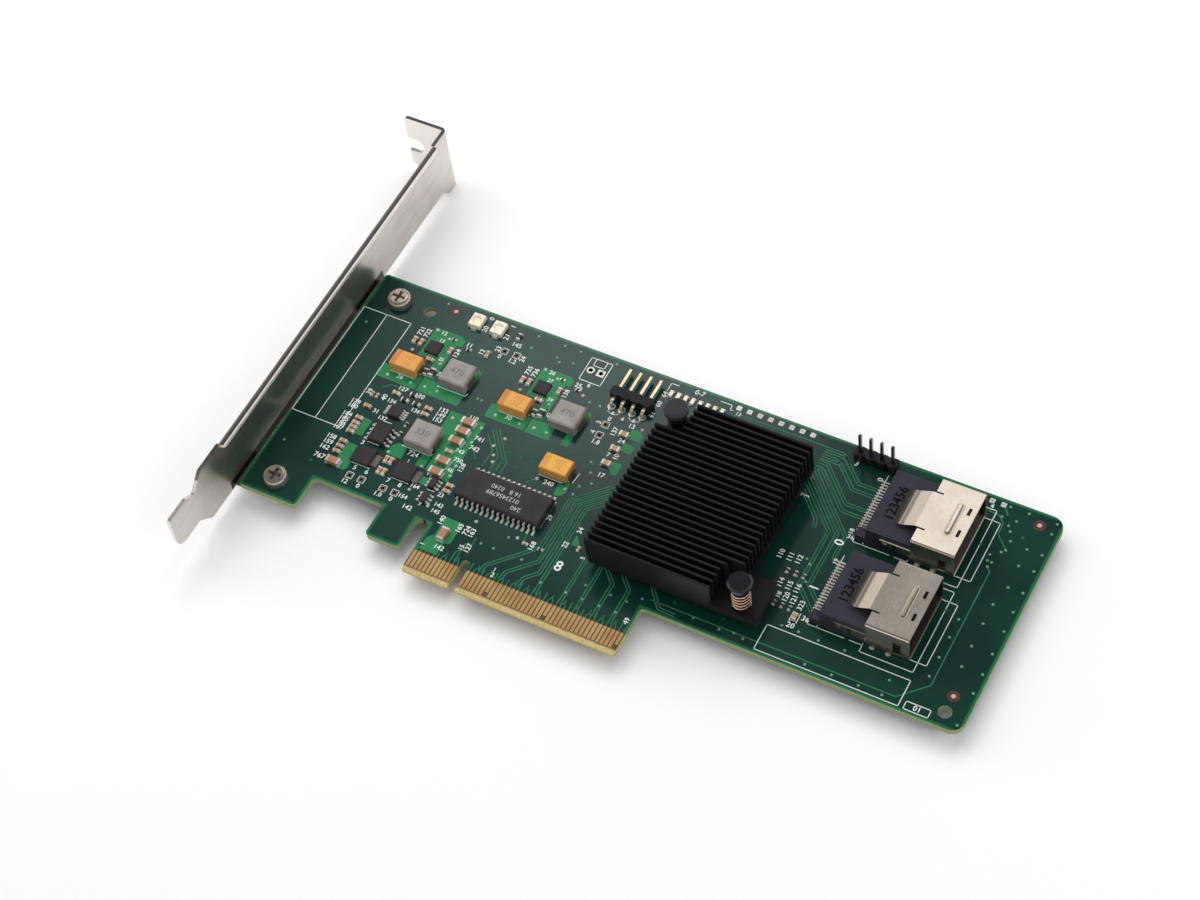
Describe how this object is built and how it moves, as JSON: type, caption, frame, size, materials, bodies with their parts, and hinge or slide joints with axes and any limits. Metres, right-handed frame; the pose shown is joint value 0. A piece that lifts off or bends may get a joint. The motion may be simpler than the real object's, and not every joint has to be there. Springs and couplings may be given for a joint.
{
  "type": "raid controller card",
  "caption": "Low-profile storage controller card with a finned heat sink, two shelled cable ports and a full-height folded bracket.",
  "frame": {"origin": "middle of the key slot at the bottom of the edge fingers, on the component face of the board", "axes": "+X along the card away from the bracket, +Y from the fingers to the top edge, +Z out of the component face"},
  "size_m": [0.1805, 0.12, 0.0183],
  "materials": {
    "board": "satin solder mask",
    "gold": "gold plated",
    "bracket_steel": "bright nickel",
    "solder": "bright tin",
    "substrate": "satin",
    "chip_plastic": "matte",
    "thermal_compound": "soft",
    "black_anodised": "black anodised",
    "pin_plastic": "satin",
    "copper_wire": "bright",
    "port_shell": "bright",
    "port_plastic": "matte",
    "ferrite": "matte",
    "tantalum": "satin",
    "ceramic": "satin",
    "resistor_body": "satin",
    "lamp": "satin",
    "header_plastic": "matte"
  },
  "bodies": {
    "root": {"activity_lamp_bodies": "lamp", "activity_lamp_terminals": "solder", "angle_header_block": "header_plastic", "angle_header_pins": "gold", "bracket_screw_lower": "bracket_steel", "bracket_screw_upper": "bracket_steel", "circuit_board": "board", "controller_mould": "chip_plastic", "controller_solder_balls": "solder", "controller_substrate": "substrate", "driver_chip_body": "chip_plastic", "driver_chip_leads": "solder", "edge_contacts_back": "gold", "edge_contacts_front": "gold", "heat_sink": "black_anodised", "inductor_0": "ferrite", "inductor_1": "ferrite", "inductor_2": "ferrite", "inductor_terminals": "solder", "large_capacitor_bodies": "ceramic", "large_capacitor_terminals": "solder", "memory_chip_body": "chip_plastic", "memory_chip_leads": "solder", "monitor_chip_body": "chip_plastic", "monitor_chip_leads": "solder", "mounting_bracket": "bracket_steel", "post_header_block": "header_plastic", "post_header_pins": "gold", "power_switch_0": "chip_plastic", "power_switch_1": "chip_plastic", "power_switch_tabs": "solder", "push_pin_lower": "pin_plastic", "push_pin_spring_lower": "copper_wire", "push_pin_spring_upper": "copper_wire", "push_pin_upper": "pin_plastic", "regulator_chip_0": "chip_plastic", "regulator_chip_1": "chip_plastic", "resistor_bodies": "resistor_body", "resistor_terminals": "solder", "sas_port_0_cage": "port_shell", "sas_port_0_contacts": "solder", "sas_port_0_housing": "port_plastic", "sas_port_1_cage": "port_shell", "sas_port_1_contacts": "solder", "sas_port_1_housing": "port_plastic", "small_capacitor_bodies": "ceramic", "small_capacitor_terminals": "solder", "small_transistor_bodies": "chip_plastic", "small_transistor_leads": "solder", "status_lamp_bodies": "lamp", "status_lamp_terminals": "solder", "tantalum_capacitor_0": "tantalum", "tantalum_capacitor_1": "tantalum", "tantalum_capacitor_2": "tantalum", "tantalum_terminals": "solder", "test_point_rings": "solder", "thermal_pad": "thermal_compound"}
  },
  "joints": []
}
